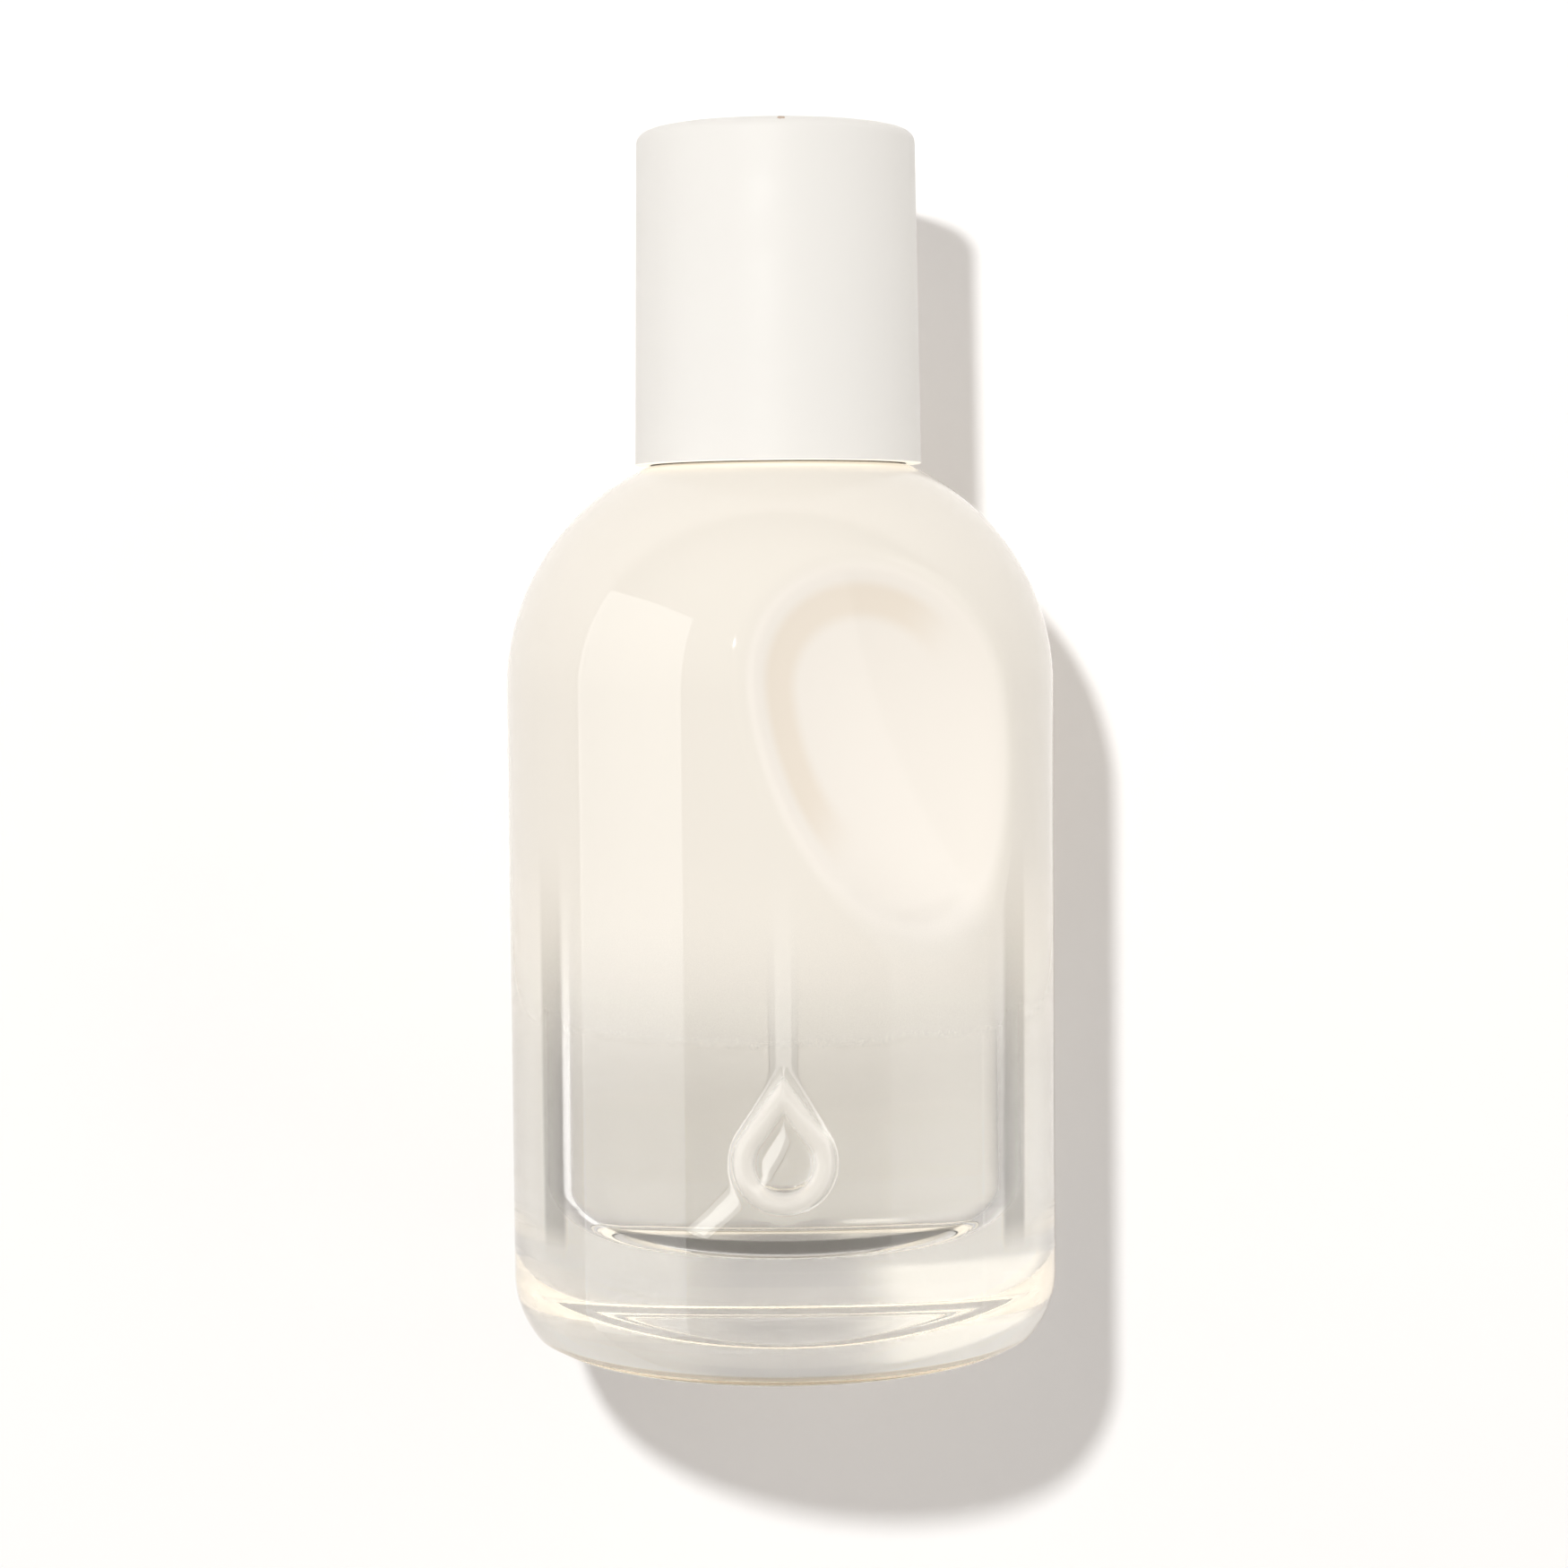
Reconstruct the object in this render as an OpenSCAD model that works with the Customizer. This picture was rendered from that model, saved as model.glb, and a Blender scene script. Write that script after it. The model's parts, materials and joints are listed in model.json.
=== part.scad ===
// Fragrance spray bottle: a thick round glass bottle with a thumb dent and a raised drop, a crimped
// fine-mist pump with its dip tube, a press button with a side nozzle, and a pull-off cap.
// Millimetres, +Z up. The nozzle and the raised drop face -Y. The origin is the middle of the foot.

/* [Glass] */
// Outer radius of the bottle
body_r = 27.5; // [26.5:0.5:29]
// Height of the flat land round the neck
land_z = 88; // [86:0.2:92]
// Radius of that land
land_r = 12.8; // [12.6:0.1:13.4]
// Radius of the shoulder's curve in section
shoulder_arc_r = 24.2; // [23:0.1:25]
// Radius of the heel's curve in section
heel_arc_r = 9.4; // [8.4:0.1:9.8]
// Radius of the hollow for the liquid
cavity_r = 15.9; // [14:0.1:16.5]
// Height of the hollow's floor above the table
floor_z = 10.7; // [8:0.1:14]
// Radius of the corner round the hollow's floor
floor_corner_r = 5; // [3:0.5:7]
// Height of the liquid's surface
level_z = 76; // [72:0.5:79]

/* [Thumb dent] */
// Turn of the dent from the front, towards +X
dent_turn = 23; // [0:0.5:40]
// Height of the dent's middle
dent_z = 64.2; // [58:0.2:66]
// Depth of the dent below the round wall
dent_depth = 6; // [3:0.1:7]
// Radius of the dent's curve across
dent_across_r = 28.5; // [24:0.5:34]
// Radius of the dent's curve along
dent_along_r = 63; // [50:1:70]
// Lean of the dent's upper end towards -X
dent_lean = 40; // [0:1:45]

/* [Raised drop] */
// Height of the middle of the drop's round part
drop_z = 22; // [18:0.2:30]
// Radius of the drop's round part
drop_r = 5; // [3:0.1:6]
// Width of the drop's ridge
drop_ridge = 2.4; // [1:0.1:2.6]
// How far the drop stands out of the glass
drop_relief = 0.9; // [0.4:0.1:1.2]

/* [Cap] */
// Outer radius of the cap at its open end
cap_low_r = 14.35; // [14.2:0.05:15]
// Outer radius of the cap at its top
cap_top_r = 13.9; // [13.7:0.05:14.5]
// Height of the cap's top above the table
cap_top_z = 121; // [120:0.2:126]
// Radius of the cap's top edge
cap_edge_r = 1.1; // [0.5:0.1:1.4]
// Thickness of the cap's wall
cap_wall = 1.5; // [1.2:0.1:1.5]

/* [Pump] */
// Stroke of the button
stroke = 4.5; // [3.5:0.1:4.6]
// Part of the stroke that the piston stays behind
piston_lag = 0.65; // [0.4:0.05:0.7]
// Turns of the return spring
return_turns = 5; // [4:1:6]
// Turns of the precompression spring
precompression_turns = 3; // [3:1:4]

/* [Dip tube] */
// Turn of the tube's foot about the bottle's axis, from +X
tube_turn = 215; // [0:5:355]
// Height at which the tube starts to bend
tube_bend_z = 25; // [25:0.5:30]
// Radius of that bend
tube_bend_r = 12; // [10:0.5:12]
// Length of the straight foot below the bend
tube_foot = 6.8; // [4:0.1:6.8]

/* [Hidden] */
$fn = 96;

// Small gap that keeps two faces from sharing the same place
skin = 0.05;
// Running gap between a moving part and its guide
running = 0.03;
// Gap where a real seal or press fit touches
seal_gap = 0.02;
// Extra length of a cutting body past the face it opens
past = 1;

// Glass
foot_step = 0.8;
foot_out_r = body_r - 3.2;
foot_in_r = body_r - 7.1;
push_up_edge = 0.6;
push_up = 2;
push_up_r = (foot_in_r * foot_in_r + pow(push_up - push_up_edge, 2)) / (2 * (push_up - push_up_edge));
heel_z = 6.6;
shoulder_c = body_r - shoulder_arc_r;
shoulder_z = land_z - sqrt(pow(shoulder_arc_r, 2) - pow(land_r - shoulder_c, 2));
cavity_arc_r = cavity_r - shoulder_c;
cavity_shoulder_z = shoulder_z + 3.3;
drop_tip = 1.72 * drop_r;

// Neck of the 15 mm crimp kind: a groove below, a bead above
neck_r = 6.45;
bead_r = 7.4;
neck_bore_r = 4.3;
groove_h = 3;
bead_h = 3.6;
bead_z = land_z + groove_h;
bead_edge = 0.6;
neck_z = bead_z + bead_h;

// Pump, in heights from the top of the neck
gasket_t = 0.8;
gasket_r = 7.2;
flange_t = 0.8;
flange_r = 7.3;
flange_z = neck_z + gasket_t;
plate_z = flange_z + flange_t;
barrel_r = 4.2;
chamber_r = 3;
seal_seat_r = 3.4;
seal_z = neck_z - 2.1;
seal_t = 0.8;
chamber_z = neck_z - 15.7;
ledge_t = 0.5;
ball_r = 1.1;
ball_bore_r = 1.35;
ball_bore_h = 2.2;
seat_z = chamber_z - ledge_t - ball_bore_h;
ball_z = seat_z - ball_bore_r + sqrt(2) * (ball_r + running);
inlet_r = 0.7;
spigot_r = 1.9;
spigot_z = neck_z - 27.6;
socket_z = neck_z - 21.6;
tube_r = 1.05;
tube_bore_r = 0.6;

stem_r = 1.75;
stem_bore_r = 0.9;
stem_z = neck_z - 7.1;
stem_top_z = neck_z + 13;
stem_collar_r = 2.4;
stem_collar_t = 0.85;
stem_collar_z = seal_z - skin - stem_collar_t;
plunger_r = 2.1;
plunger_t = 1.7;
plunger_z = stem_z - plunger_t;
piston_z = stem_z + 0.1;
piston_h = stem_collar_z - piston_lag - skin - piston_z;
piston_pocket = 2.2;
piston_pocket_z = piston_z + piston_h - piston_pocket;
port_r = 0.3;

// Ferrule, sheet 0.4 thick
sheet = 0.4;
ferrule_r = 7.9;
pedestal_r = 4.9;
pedestal_z = plate_z + 3.4;
turret_r = pedestal_r - sheet - 0.1;

// Collar
collar_r = 9;
collar_bore_r = 8.05;
collar_z = land_z + 0.2;
collar_top_z = neck_z + 7.6;
collar_top_t = 0.6;
collar_mouth_r = 7;

// Button
button_r = 6.6;
button_wall = 0.9;
button_z = neck_z + 6.9;
button_top_z = neck_z + 19.9;
button_edge_r = 0.8;
button_roof_z = neck_z + 16.8;
button_dish_r = 16;
button_dish = 0.8;
post_r = 3;
post_z = pedestal_z + stroke + 0.35;
nozzle_z = neck_z + 14.5;
nozzle_boss_r = 2.2;
insert_r = 1.6;
insert_l = 2.2;
insert_y = 6.3;

// Cap
cap_z = land_z + skin;
cap_roof_z = cap_top_z - 2.1;
cap_grip_r = collar_r + 0.08;
cap_grip_wall = 0.8;
cap_insert_z = cap_z + 1.4;
cap_insert_top_t = 1;
rib_w = 0.8;
ribs = 6;

// Bend of the dip tube away from straight down
tube_bend = 45;

// Turns a half section about Z
module turned() {
    rotate_extrude() children();
}

// Rectangle of a half section, from radius r1 to r2 and from height z1 to z2
module band(r1, r2, z1, z2) {
    translate([r1, z1]) square([r2 - r1, z2 - z1]);
}

// Ring about Z with square corners
module ring(r1, r2, z1, z2) {
    turned() band(r1, r2, z1, z2);
}

// Round rod about Z between two heights
module cylinder_between(r, z1, z2) {
    translate([0, 0, z1]) cylinder(r = r, h = z2 - z1);
}

// Part of a half section that lies between two heights
module between(z1, z2, reach) {
    intersection() {
        union() children();
        band(0, reach, z1, z2);
    }
}

// Coil of round wire about Z that just reaches from height z1 to z2
module coil_spring(coil_r, wire_r, z1, z2, turns) {
    sides = 8;
    per_turn = 20;
    steps = per_turn * turns;
    rise = (z2 - z1 - 2 * wire_r) / steps;
    points = [
        for (i = [0:steps])
            for (k = [0:sides - 1])
                let (a = 360 * i / per_turn, b = 360 * k / sides, r = coil_r + wire_r * cos(b))
                [r * cos(a), r * sin(a), z1 + wire_r + rise * i + wire_r * sin(b)]
    ];
    walls = [
        for (i = [0:steps - 1])
            for (k = [0:sides - 1])
                let (here = i * sides, next = here + sides, k2 = (k + 1) % sides)
                [here + k, here + k2, next + k2, next + k]
    ];
    first_end = [for (k = [sides - 1:-1:0]) k];
    last_end = [for (k = [0:sides - 1]) steps * sides + k];
    polyhedron(points, concat(walls, [first_end, last_end]));
}

// Half section of the hollow in the glass, drawn in by a gap all round
module cavity_section(gap) {
    corner_z = floor_z + floor_corner_r;
    corner_c = cavity_r - floor_corner_r;
    band(0, cavity_r - gap, corner_z, cavity_shoulder_z);
    between(floor_z, corner_z, cavity_r) {
        translate([corner_c, corner_z]) circle(floor_corner_r - gap);
        band(0, corner_c, floor_z + gap, corner_z);
    }
    between(cavity_shoulder_z, neck_z, cavity_r) {
        translate([shoulder_c, cavity_shoulder_z]) circle(cavity_arc_r - gap);
        band(0, shoulder_c, cavity_shoulder_z, cavity_shoulder_z + cavity_arc_r - gap);
    }
}

// Half section of the shallow hollow pushed up under the foot
module push_up_section() {
    band(0, foot_in_r, -past, push_up_edge);
    between(push_up_edge, push_up + past, foot_in_r) {
        translate([0, push_up - push_up_r]) circle(push_up_r, $fn = 720);
    }
}

// Half section of the outside of the glass
module glass_section() {
    band(foot_in_r - past, foot_out_r, 0, foot_step);
    between(foot_step, heel_z, body_r) {
        translate([body_r - heel_arc_r, heel_z]) circle(heel_arc_r);
        band(0, body_r - heel_arc_r, foot_step, heel_z);
    }
    band(0, body_r, heel_z, shoulder_z);
    between(shoulder_z, land_z, body_r) {
        translate([shoulder_c, shoulder_z]) circle(shoulder_arc_r);
        band(0, shoulder_c, shoulder_z, land_z);
    }
    band(0, neck_r, shoulder_z, bead_z);
    polygon([
        [0, bead_z],
        [neck_r, bead_z],
        [bead_r, bead_z + bead_edge],
        [bead_r, neck_z - bead_edge],
        [bead_r - bead_edge, neck_z],
        [0, neck_z],
    ]);
}

// Barrel whose side presses the thumb dent into the wall
module dent_barrel() {
    barrel_y = body_r - dent_depth + dent_across_r;
    half_length = dent_along_r / 2;
    rotate([0, 0, dent_turn])
        translate([0, -barrel_y, dent_z])
        rotate([0, -dent_lean, 0])
        turned()
        between(-half_length, half_length, dent_across_r) {
            translate([dent_across_r - dent_along_r, 0]) circle(dent_along_r, $fn = 360);
        }
}

// Outline of a drop with its tip up, about the middle of its round part. Its straight sides meet
// the circle just inside it.
module drop_outline(r) {
    inside = 0.985;
    tip = drop_tip * r / drop_r;
    side = acos(r / tip);
    side_x = inside * r * sin(side);
    side_y = inside * r * cos(side);
    circle(r);
    polygon([[0, 0], [side_x, side_y], [0, tip], [-side_x, side_y]]);
}

// Ridge in the outline of a drop, standing out of the front wall
module raised_drop() {
    intersection() {
        ring(body_r - past, body_r + drop_relief, heel_z, shoulder_z);
        rotate([90, 0, 0])
            linear_extrude(body_r + 2 * past)
            translate([0, drop_z])
            difference() {
                drop_outline(drop_r);
                drop_outline(drop_r - drop_ridge);
            }
    }
}

module glass_bottle() {
    color([0.93, 0.90, 0.84, 0.6])
        union() {
            difference() {
                turned()
                    difference() {
                        glass_section();
                        cavity_section(0);
                        push_up_section();
                        band(0, neck_bore_r, cavity_shoulder_z, neck_z + past);
                    }
                dent_barrel();
            }
            raised_drop();
        }
}

// Half section of the outside of the pump's barrel below the flange
module barrel_section(gap) {
    step_z = neck_z - 9.6;
    low_barrel_r = barrel_r - 0.4;
    valve_z = seat_z + 1.2;
    valve_r = ball_bore_r + 1.2;
    taper_top_z = seat_z - 1.6;
    taper_low_z = seat_z - 2.2;
    band(0, barrel_r + gap, step_z, plate_z);
    band(0, low_barrel_r + gap, valve_z, step_z);
    polygon([
        [0, spigot_z - gap],
        [spigot_r + gap, spigot_z - gap],
        [spigot_r + gap, taper_low_z],
        [valve_r + gap, taper_top_z],
        [valve_r + gap, seat_z],
        [low_barrel_r + gap, valve_z],
        [0, valve_z],
    ]);
}

// Round rod of radius r along the dip tube's run, from its foot up to height top_z, and longer
// by over at both ends
module tube_run(r, top_z, over = 0) {
    rotate([0, 0, tube_turn]) {
        translate([0, 0, tube_bend_z])
            cylinder(r = r, h = top_z + over - tube_bend_z, $fn = 48);
        translate([tube_bend_r, 0, tube_bend_z])
            rotate([90, 0, 0])
            rotate([0, 0, 180]) {
                rotate_extrude(angle = tube_bend) translate([tube_bend_r, 0]) circle(r, $fn = 48);
                rotate([0, 0, tube_bend])
                    translate([tube_bend_r, 0, 0])
                    rotate([-90, 0, 0])
                    cylinder(r = r, h = tube_foot + over, $fn = 48);
            }
    }
}

module fragrance() {
    color([0.85, 0.74, 0.56, 0.5])
        difference() {
            turned() between(0, level_z, cavity_r) cavity_section(skin);
            turned() barrel_section(skin);
            tube_run(tube_r + skin, level_z);
        }
}

module neck_gasket() {
    color("dimgray") ring(neck_bore_r + skin, gasket_r, neck_z, flange_z);
}

module pump_housing() {
    slot_w = 0.5;
    ledge_r = ball_r - 0.15;
    color("whitesmoke")
        difference() {
            turned() {
                barrel_section(0);
                band(0, flange_r, flange_z, plate_z);
            }
            turned() {
                band(0, seal_seat_r, seal_z, plate_z + past);
                band(0, chamber_r, chamber_z, seal_z);
                band(0, ledge_r, seat_z, chamber_z);
                band(0, ball_bore_r, seat_z, seat_z + ball_bore_h);
                polygon([
                    [0, seat_z - ball_bore_r + inlet_r],
                    [inlet_r, seat_z - ball_bore_r + inlet_r],
                    [ball_bore_r, seat_z],
                    [0, seat_z],
                ]);
                band(0, inlet_r, socket_z, seat_z);
                band(0, tube_r + running, spigot_z - past, socket_z);
            }
            for (turn = [0:120:240])
                rotate([0, 0, turn])
                    translate([0, -slot_w / 2, seat_z + ball_bore_h - skin])
                    cube([ball_bore_r, slot_w, ledge_t + 2 * skin]);
        }
}

module dip_tube() {
    color("ivory")
        difference() {
            tube_run(tube_r, socket_z);
            tube_run(tube_bore_r, socket_z, past);
        }
}

module inlet_ball() {
    color("silver") translate([0, 0, ball_z]) sphere(ball_r);
}

module return_spring() {
    coil_r = 2.2;
    wire_r = 0.175;
    color("silver") coil_spring(coil_r, wire_r, chamber_z, plunger_z, return_turns);
}

module plunger() {
    pin_r = stem_bore_r - skin;
    pin_h = 4;
    nose_r = 1.75;
    nose_h = 1.2;
    color("white")
        difference() {
            union() {
                turned() {
                    band(0, plunger_r, plunger_z, stem_z);
                    band(0, nose_r, plunger_z - nose_h, plunger_z);
                }
                cylinder_between(pin_r, stem_z - skin, stem_z + pin_h);
            }
            for (side = [-1, 1])
                translate([side * pin_r - pin_r / 2, -pin_r, stem_z])
                    cube([pin_r, 2 * pin_r, pin_h + past]);
        }
}

module piston() {
    sleeve_r = chamber_r - 0.15;
    lip_r = chamber_r - running;
    lip_h = 0.6;
    top_z = piston_z + piston_h;
    color("lightblue")
        turned()
        difference() {
            union() {
                band(0, sleeve_r, piston_z, top_z);
                band(0, lip_r, piston_z, piston_z + lip_h);
                band(0, lip_r, top_z - lip_h, top_z);
            }
            band(0, stem_r + skin, piston_z - past, top_z + past);
            band(0, stem_collar_r + skin, piston_pocket_z, top_z + past);
        }
}

module precompression_spring() {
    coil_r = 2.1;
    wire_r = 0.15;
    color("silver")
        coil_spring(coil_r, wire_r, piston_pocket_z, stem_collar_z, precompression_turns);
}

module stem() {
    port_z = stem_z + 0.5;
    color("white")
        difference() {
            turned()
                difference() {
                    union() {
                        band(0, stem_r, stem_z, stem_top_z);
                        band(0, stem_collar_r, stem_collar_z, stem_collar_z + stem_collar_t);
                    }
                    band(0, stem_bore_r, stem_z - past, stem_top_z + past);
                }
            translate([0, 0, port_z])
                rotate([90, 0, 90])
                cylinder(r = port_r, h = 2 * stem_collar_r, center = true, $fn = 32);
        }
}

module stem_seal() {
    color("dimgray") ring(stem_r + seal_gap, seal_seat_r - skin, seal_z, seal_z + seal_t);
}

module turret() {
    bore_r = stem_r + 0.1;
    color("whitesmoke")
        turned() {
            band(bore_r, seal_seat_r - skin, seal_z + seal_t, plate_z);
            band(bore_r, turret_r, plate_z, pedestal_z - sheet);
        }
}

module crimp_ferrule() {
    skirt_r = ferrule_r - sheet;
    mouth_r = stem_r + 0.9;
    bend_z = bead_z + 0.2;
    lip_r = neck_r + 0.3;
    lip_z = bend_z - 1.1;
    lip_cut = [0.32, -0.24];
    color("silver")
        turned() {
            band(skirt_r, ferrule_r, bend_z, plate_z + sheet);
            band(pedestal_r - sheet, ferrule_r, plate_z, plate_z + sheet);
            band(pedestal_r - sheet, pedestal_r, plate_z, pedestal_z);
            band(mouth_r, pedestal_r, pedestal_z - sheet, pedestal_z);
            polygon([
                [lip_r, lip_z],
                [lip_r + lip_cut.x, lip_z + lip_cut.y],
                [ferrule_r, bend_z],
                [skirt_r, bend_z],
            ]);
        }
}

module collar() {
    shelf_t = 0.6;
    edge = 0.4;
    color([0.80, 0.79, 0.76])
        turned()
        difference() {
            polygon([
                [0, collar_z],
                [collar_r, collar_z],
                [collar_r, collar_top_z - edge],
                [collar_r - edge, collar_top_z],
                [0, collar_top_z],
            ]);
            band(0, collar_bore_r, collar_z - past, plate_z + sheet);
            band(0, collar_mouth_r, collar_z, collar_top_z + past);
            band(0, collar_bore_r, plate_z + sheet + shelf_t, collar_top_z - collar_top_t);
        }
}

// Round rod that runs from the axis towards the nozzle, from depth y1 to y2
module nozzle_rod(r, y1, y2) {
    translate([0, -y1, nozzle_z])
        rotate([90, 0, 0])
        cylinder(r = r, h = y2 - y1, $fn = 64);
}

module actuator_core() {
    sleeve_r = button_r - button_wall - skin;
    sleeve_bore_r = pedestal_r + 0.25;
    sleeve_z = button_z + 0.3;
    plate_t = 1;
    boss_end_y = sleeve_r - 0.3;
    channel_r = 0.6;
    color("ivory")
        difference() {
            union() {
                turned() {
                    band(0, post_r, post_z, button_roof_z);
                    band(0, sleeve_r, button_roof_z - plate_t, button_roof_z);
                    band(sleeve_bore_r, sleeve_r, sleeve_z, button_roof_z);
                }
                nozzle_rod(nozzle_boss_r, 0, boss_end_y);
            }
            cylinder_between(stem_r + seal_gap, post_z - past, stem_top_z);
            cylinder_between(stem_bore_r, post_z, nozzle_z + channel_r);
            nozzle_rod(channel_r, 0, insert_y);
            nozzle_rod(insert_r + seal_gap, insert_y - insert_l, button_r);
        }
}

module actuator_shell() {
    window_r = insert_r + 0.3;
    dish_z = button_top_z - button_dish + button_dish_r;
    color("ivory")
        difference() {
            turned()
                difference() {
                    union() {
                        band(0, button_r, button_z, button_top_z - button_edge_r);
                        band(0, button_r - button_edge_r, button_z, button_top_z);
                        translate([button_r - button_edge_r, button_top_z - button_edge_r])
                            circle(button_edge_r, $fn = 48);
                    }
                    band(0, button_r - button_wall, button_z - past, button_roof_z);
                    translate([0, dish_z]) circle(button_dish_r, $fn = 180);
                    translate([-button_dish_r, dish_z - button_dish_r])
                        square([button_dish_r, 2 * button_dish_r]);
                }
            nozzle_rod(window_r, post_r, button_r + past);
        }
}

module spray_insert() {
    back_y = insert_y - insert_l;
    pocket_r = 1;
    pocket_l = 1.2;
    orifice_r = 0.15;
    mouth_r = 0.6;
    mouth_l = 0.3;
    color("white")
        difference() {
            nozzle_rod(insert_r, back_y, insert_y);
            nozzle_rod(pocket_r, back_y - past, back_y + pocket_l);
            nozzle_rod(orifice_r, back_y, insert_y + past);
            nozzle_rod(mouth_r, insert_y - mouth_l, insert_y + past);
        }
}

// Radius of the cap's inner wall at height z
function cap_inner_r(z) =
    cap_low_r - cap_wall - (cap_low_r - cap_top_r) * (z - cap_z) / (cap_top_z - cap_edge_r - cap_z);

module cap_insert() {
    flange_t = 0.8;
    sleeve_r = cap_grip_r + cap_grip_wall;
    rib_root = cap_grip_r + cap_grip_wall / 2;
    rib_r = cap_inner_r(cap_roof_z) - 2 * skin;
    color("white")
        difference() {
            union() {
                turned() {
                    band(0, sleeve_r, cap_insert_z, cap_roof_z);
                    band(0, cap_inner_r(cap_insert_z + flange_t) - skin, cap_insert_z,
                        cap_insert_z + flange_t);
                    band(0, rib_r, cap_roof_z - cap_insert_top_t, cap_roof_z);
                }
                for (turn = [0:360 / ribs:359])
                    rotate([0, 0, turn])
                        translate([rib_root, -rib_w / 2, cap_insert_z + skin])
                        cube([rib_r - rib_root - skin, rib_w, cap_roof_z - cap_insert_z - 2 * skin]);
            }
            cylinder_between(cap_grip_r, cap_insert_z - past, cap_roof_z - cap_insert_top_t);
        }
}

module cap_shell() {
    side_z = cap_top_z - cap_edge_r;
    color([0.97, 0.95, 0.92])
        turned()
        difference() {
            union() {
                polygon([
                    [0, cap_z],
                    [cap_low_r, cap_z],
                    [cap_top_r, side_z],
                    [0, side_z],
                ]);
                band(0, cap_top_r - cap_edge_r, side_z, cap_top_z);
                translate([cap_top_r - cap_edge_r, side_z]) circle(cap_edge_r, $fn = 48);
            }
            polygon([
                [0, cap_z - past],
                [cap_inner_r(cap_z - past), cap_z - past],
                [cap_inner_r(cap_roof_z), cap_roof_z],
                [0, cap_roof_z],
            ]);
        }
}

glass_bottle();
fragrance();
neck_gasket();
pump_housing();
dip_tube();
inlet_ball();
return_spring();
plunger();
piston();
precompression_spring();
stem();
stem_seal();
turret();
crimp_ferrule();
collar();
actuator_core();
actuator_shell();
spray_insert();
cap_insert();
cap_shell();
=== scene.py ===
import json
import math

import bpy
import numpy as np
from mathutils import Matrix, Vector


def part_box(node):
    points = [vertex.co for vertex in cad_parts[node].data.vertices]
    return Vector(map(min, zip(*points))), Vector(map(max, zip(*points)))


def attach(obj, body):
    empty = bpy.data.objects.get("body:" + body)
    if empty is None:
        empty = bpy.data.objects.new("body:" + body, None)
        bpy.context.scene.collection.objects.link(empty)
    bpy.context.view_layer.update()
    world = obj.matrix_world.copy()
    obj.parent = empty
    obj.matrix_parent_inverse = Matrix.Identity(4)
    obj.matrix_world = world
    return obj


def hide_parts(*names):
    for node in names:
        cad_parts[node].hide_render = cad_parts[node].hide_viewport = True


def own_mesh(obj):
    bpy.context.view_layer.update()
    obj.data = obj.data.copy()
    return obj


# The looks of the fragrance spray bottle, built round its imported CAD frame. Metres, +Z up, the
# nozzle and the raised drop towards -Y. The bottle lies on its back in the picture, so the white
# table is the upright plane behind it.

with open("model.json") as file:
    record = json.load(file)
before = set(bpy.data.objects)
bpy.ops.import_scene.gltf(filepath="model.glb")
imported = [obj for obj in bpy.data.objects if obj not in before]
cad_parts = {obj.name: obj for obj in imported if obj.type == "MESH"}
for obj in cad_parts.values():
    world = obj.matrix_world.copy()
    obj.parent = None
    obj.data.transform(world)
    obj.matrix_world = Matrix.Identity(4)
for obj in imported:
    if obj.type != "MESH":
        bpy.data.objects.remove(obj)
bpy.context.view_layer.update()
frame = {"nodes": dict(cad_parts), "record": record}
MM = 0.001

# ---------------------------------------------------------------- sizes, as in the CAD model

BODY_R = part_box("glass_bottle")[1].x
LAND_Z = 88 * MM
LAND_R = 12.8 * MM
SHOULDER_ARC_R = 24.2 * MM
HEEL_ARC_R = 9.4 * MM
HEEL_Z = 6.6 * MM
FOOT_STEP = 0.8 * MM
FOOT_OUT_R = BODY_R - 3.2 * MM
FOOT_IN_R = BODY_R - 7.1 * MM
PUSH_UP_EDGE = 0.6 * MM
PUSH_UP = 2 * MM
CAVITY_R = 15.9 * MM
FLOOR_Z = 10.7 * MM
FLOOR_CORNER_R = 5 * MM
LEVEL_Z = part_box("fragrance")[1].z
NECK_R = 6.45 * MM
BEAD_R = 7.4 * MM
NECK_BORE_R = 4.3 * MM
BEAD_H = 3.6 * MM
NECK_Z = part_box("glass_bottle")[1].z

SHOULDER_C = BODY_R - SHOULDER_ARC_R
SHOULDER_Z = LAND_Z - math.sqrt(SHOULDER_ARC_R**2 - (LAND_R - SHOULDER_C) ** 2)
CAVITY_ARC_R = CAVITY_R - SHOULDER_C
CAVITY_SHOULDER_Z = SHOULDER_Z + 3.3 * MM

DENT_TURN = math.radians(23)
DENT_Z = 64.2 * MM
DENT_DEPTH = 6 * MM
DENT_ACROSS_R = 28.5 * MM
DENT_ALONG_R = 63 * MM
DENT_LEAN = math.radians(40)
DENT_RIM = 1.15 * MM
DENT_LOW_Z = 36 * MM
DENT_HIGH_Z = LAND_Z - 1 * MM

DROP_Z = 22 * MM
DROP_R = 5 * MM
DROP_TIP = 1.72 * DROP_R
DROP_RIDGE = 2.4 * MM
DROP_RELIEF = 0.9 * MM
DROP_LOW_Z = 14 * MM
DROP_HIGH_Z = 34 * MM
DROP_HALF_W = 8 * MM

POLE_R = 1e-9
SHORTEST = 1e-7


# ---------------------------------------------------------------- outlines and meshes


def arc(centre_r, centre_z, radius, start, end, steps):
    """Points of an arc in a half section, from one angle to another in degrees."""
    angles = np.radians(np.linspace(start, end, steps + 1))
    return [(centre_r + radius * math.cos(a), centre_z + radius * math.sin(a)) for a in angles]


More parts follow.
